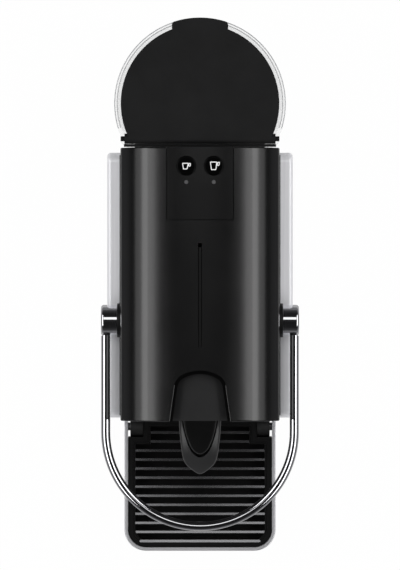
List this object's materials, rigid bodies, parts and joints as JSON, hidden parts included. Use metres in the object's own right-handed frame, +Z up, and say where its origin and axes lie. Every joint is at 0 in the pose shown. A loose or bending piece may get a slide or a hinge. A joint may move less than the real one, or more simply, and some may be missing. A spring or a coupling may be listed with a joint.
{
  "type": "pod coffee machine",
  "caption": "Slim pod coffee machine with an arched black cover, chrome U lever, aluminium side panels, clear rear water tank and a folding slatted cup support.",
  "frame": {"origin": "on the table, under the middle of the machine's overall box", "axes": "+Z up, -Y towards the front where the cup stands, +X to the right seen from the front"},
  "size_m": [0.118, 0.3264, 0.235],
  "materials": {
    "cover_black": "satin black shell",
    "control_black": "fine matte black",
    "button_black": "polished black",
    "light_grey": "translucent grey",
    "panel_aluminium": "fine satin",
    "lever_chrome": "polished",
    "washer_black": "matte black",
    "casing_black": "moulded black",
    "nose_black": "satin black",
    "spout_black": "satin dark grey",
    "shutter_black": "satin black",
    "bin_black": "moulded black",
    "hoop_silver": "satin silver",
    "tray_black": "moulded black",
    "grid_nickel": "satin black nickel",
    "tank_clear": "clear",
    "lid_black": "matte black",
    "rubber_black": "matte",
    "inner_steel": "plain",
    "cage_aluminium": "cast",
    "coil_wrap": "varnished",
    "pump_grey": "moulded",
    "board_green": "lacquered",
    "hose_milky": "milky",
    "fitting_white": "moulded"
  },
  "bodies": {
    "machine": {"base_pan": "casing_black", "feet": "rubber_black", "left_chassis_wall": "casing_black", "right_chassis_wall": "casing_black", "left_side_panel": "panel_aluminium", "right_side_panel": "panel_aluminium", "casing_screws": "inner_steel", "rear_wall": "casing_black", "bay_wall": "casing_black", "service_shelf": "casing_black", "top_cover": "cover_black", "control_plate": "control_black", "indicator_lights": "light_grey", "control_board": "board_green", "front_fascia": "casing_black", "extraction_plate": "inner_steel", "brew_nose": "nose_black", "spout": "spout_black", "brew_frame": "casing_black", "seal_block": "fitting_white", "pivot_washers": "washer_black", "tank_plinth": "casing_black", "cord_gland": "rubber_black", "tank_socket": "fitting_white", "socket_seal": "rubber_black", "pump_body": "pump_grey", "pump_coil": "coil_wrap", "pump_mounts": "rubber_black", "thermoblock": "cage_aluminium", "flow_meter": "pump_grey", "main_board": "board_green", "board_standoffs": "fitting_white", "inlet_hose": "hose_milky", "suction_hose": "hose_milky", "pressure_hose": "hose_milky", "brew_hose": "hose_milky"},
    "lever": {"lever_handle": "lever_chrome", "left_lever_hub": "lever_chrome", "right_lever_hub": "lever_chrome", "left_crank": "inner_steel", "right_crank": "inner_steel", "crank_pins": "inner_steel"},
    "carriage": {"brew_carriage": "casing_black", "capsule_cage": "cage_aluminium", "piercing_blades": "inner_steel", "injection_tube": "inner_steel", "capsule_shutter": "shutter_black"},
    "tank": {"water_tank": "tank_clear", "tank_valve": "fitting_white"},
    "lid": {"tank_lid": "lid_black"},
    "module": {"drip_base": "bin_black", "drip_ribs": "bin_black", "capsule_bin": "bin_black"},
    "cup_support": {"cup_frame": "hoop_silver", "cup_hinge_pins": "inner_steel", "drip_tray": "tray_black", "drip_grid": "tray_black", "grid_slats": "grid_nickel"},
    "small_button": {"small_cup_button": "button_black"},
    "large_button": {"large_cup_button": "button_black"}
  },
  "joints": [
    {"name": "lever_hinge", "type": "hinge", "parent": "machine", "child": "lever", "pos_m": [0, -0.0158, 0.201], "axis": [-1, 0, 0], "range_deg": [0, 90]},
    {"name": "carriage_slide", "type": "slide", "parent": "machine", "child": "carriage", "axis": [0, 1, 0], "range_m": [0, 0.02776]},
    {"name": "tank_lift", "type": "slide", "parent": "machine", "child": "tank", "axis": [0, 0, 1], "range_m": [0, 0.24]},
    {"name": "lid_hinge", "type": "hinge", "parent": "tank", "child": "lid", "pos_m": [0, 0.0917, 0.228], "axis": [1, 0, 0], "range_deg": [0, 95]},
    {"name": "module_slide", "type": "slide", "parent": "machine", "child": "module", "axis": [0, -1, 0], "range_m": [0, 0.14]},
    {"name": "cup_support_hinge", "type": "hinge", "parent": "module", "child": "cup_support", "pos_m": [0, -0.0845, 0.03135], "axis": [-1, 0, 0], "range_deg": [0, 90]},
    {"name": "small_button_press", "type": "slide", "parent": "machine", "child": "small_button", "axis": [0, 0, -1], "range_m": [0, 0.0012], "stiffness_N_per_m": 300, "springref_m": -0.001},
    {"name": "large_button_press", "type": "slide", "parent": "machine", "child": "large_button", "axis": [0, 0, -1], "range_m": [0, 0.0012], "stiffness_N_per_m": 300, "springref_m": -0.001}
  ],
  "couplings": [
    {"joint": "carriage_slide", "follows": "lever_hinge", "m_per_rad": 0.01767}
  ]
}
